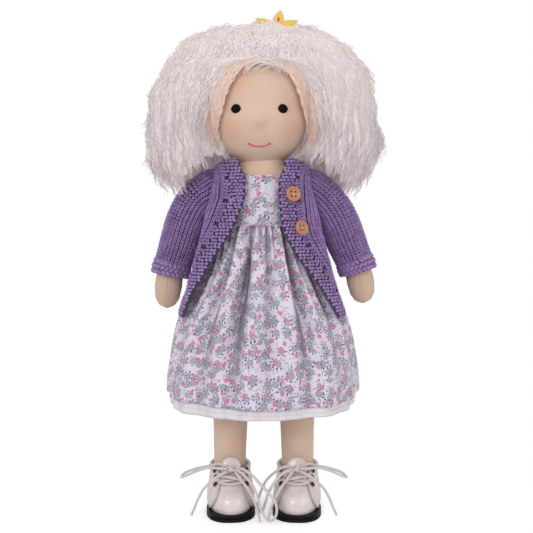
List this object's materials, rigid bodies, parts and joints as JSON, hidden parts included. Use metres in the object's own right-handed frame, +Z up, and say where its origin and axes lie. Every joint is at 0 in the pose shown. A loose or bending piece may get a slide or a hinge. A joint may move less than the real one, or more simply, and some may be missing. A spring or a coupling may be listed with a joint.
{
  "type": "cloth doll",
  "caption": "Standing stuffed cloth doll with long wavy hair, a knitted cardigan, a gathered dress and laced shoes.",
  "frame": {"origin": "on the floor, under the middle of the doll's bounding box", "axes": "+Z up the doll, -Y the way the face looks, +X towards the doll's own left side"},
  "size_m": [0.193, 0.1314, 0.4044],
  "materials": {
    "skin_jersey": "matte knitted cotton jersey",
    "stuffing": "wool stuffing",
    "print_cotton": "woven cotton with a small floral print",
    "white_cotton": "plain woven cotton",
    "purple_wool": "hand-knitted wool",
    "button_wood": "turned and lightly varnished",
    "button_thread": "sewing thread",
    "black_thread": "embroidered thread",
    "pink_thread": "embroidered thread",
    "hair": "crimped soft fibre",
    "petal_felt": "felt",
    "clip_steel": "sprung steel",
    "black_rubber": "matte",
    "white_patent": "gloss coated",
    "lace_cotton": "flat braided cotton"
  },
  "bodies": {
    "torso": {"torso_skin": "skin_jersey", "torso_stuffing": "stuffing", "dress_bodice": "print_cotton", "cardigan_back": "purple_wool", "cardigan_front_left": "purple_wool", "cardigan_front_right": "purple_wool", "button_band": "purple_wool", "buttonhole_band": "purple_wool", "button_upper": "button_wood", "button_lower": "button_wood", "button_thread_upper": "button_thread", "button_thread_lower": "button_thread"},
    "head": {"head_skin": "skin_jersey", "head_stuffing": "stuffing", "nose_bead": "stuffing", "eye_left": "black_thread", "eye_right": "black_thread", "mouth_stitch": "pink_thread", "wig_cap": "hair", "hair_crown": "hair", "locks_left": "hair", "locks_right": "hair", "locks_back": "hair"},
    "hair_clip": {"clip_flower": "petal_felt", "clip_base": "clip_steel", "clip_tongue": "clip_steel"},
    "arm_left": {"arm_left_skin": "skin_jersey", "arm_left_stuffing": "stuffing", "sleeve_left": "purple_wool", "cuff_left": "purple_wool"},
    "arm_right": {"arm_right_skin": "skin_jersey", "arm_right_stuffing": "stuffing", "sleeve_right": "purple_wool", "cuff_right": "purple_wool"},
    "skirt": {"dress_skirt": "print_cotton", "dress_lining": "white_cotton"},
    "leg_left": {"leg_left_skin": "skin_jersey", "leg_left_stuffing": "stuffing", "shoe_sole_left": "black_rubber", "shoe_vamp_left": "white_patent", "shoe_quarter_left": "white_patent", "shoe_tongue_left": "white_patent", "lacing_left": "lace_cotton", "knot_left": "lace_cotton", "lace_loop_outer_left": "lace_cotton", "lace_tail_outer_left": "lace_cotton", "lace_loop_inner_left": "lace_cotton", "lace_tail_inner_left": "lace_cotton"},
    "leg_right": {"leg_right_skin": "skin_jersey", "leg_right_stuffing": "stuffing", "shoe_sole_right": "black_rubber", "shoe_vamp_right": "white_patent", "shoe_quarter_right": "white_patent", "shoe_tongue_right": "white_patent", "lacing_right": "lace_cotton", "knot_right": "lace_cotton", "lace_loop_outer_right": "lace_cotton", "lace_tail_outer_right": "lace_cotton", "lace_loop_inner_right": "lace_cotton", "lace_tail_inner_right": "lace_cotton"}
  },
  "joints": [
    {"name": "head_turn", "type": "hinge", "parent": "torso", "child": "head", "pos_m": [0, 0, 0.28], "axis": [0, 0, 1], "range_deg": [-25, 25], "deforming": ["locks_left", "locks_right", "locks_back"]},
    {"name": "hair_clip_slide", "type": "slide", "parent": "head", "child": "hair_clip", "axis": [0, 0, 1], "range_m": [0, 0.035]},
    {"name": "arm_left_swing", "type": "hinge", "parent": "torso", "child": "arm_left", "pos_m": [0.04, 0, 0.2536], "axis": [-1, 0, 0], "range_deg": [-40, 90], "deforming": ["cardigan_back", "cardigan_front_left", "button_band"]},
    {"name": "arm_right_swing", "type": "hinge", "parent": "torso", "child": "arm_right", "pos_m": [-0.04, 0, 0.2536], "axis": [-1, 0, 0], "range_deg": [-40, 90], "deforming": ["cardigan_back", "cardigan_front_right", "buttonhole_band"]},
    {"name": "sit_bend", "type": "hinge", "parent": "torso", "child": "skirt", "pos_m": [0, 0, 0.158], "axis": [-1, 0, 0], "range_deg": [0, 75], "deforming": ["dress_skirt", "dress_lining", "cardigan_back", "cardigan_front_left", "cardigan_front_right", "button_band", "buttonhole_band"]},
    {"name": "leg_left_swing", "type": "hinge", "parent": "skirt", "child": "leg_left", "pos_m": [0.029, 0, 0.158], "axis": [-1, 0, 0], "range_deg": [-25, 15], "deforming": ["lace_loop_inner_left", "lace_tail_inner_left"]},
    {"name": "leg_right_swing", "type": "hinge", "parent": "skirt", "child": "leg_right", "pos_m": [-0.026, 0, 0.158], "axis": [-1, 0, 0], "range_deg": [-25, 15], "deforming": ["lace_loop_inner_right", "lace_tail_inner_right"]}
  ]
}
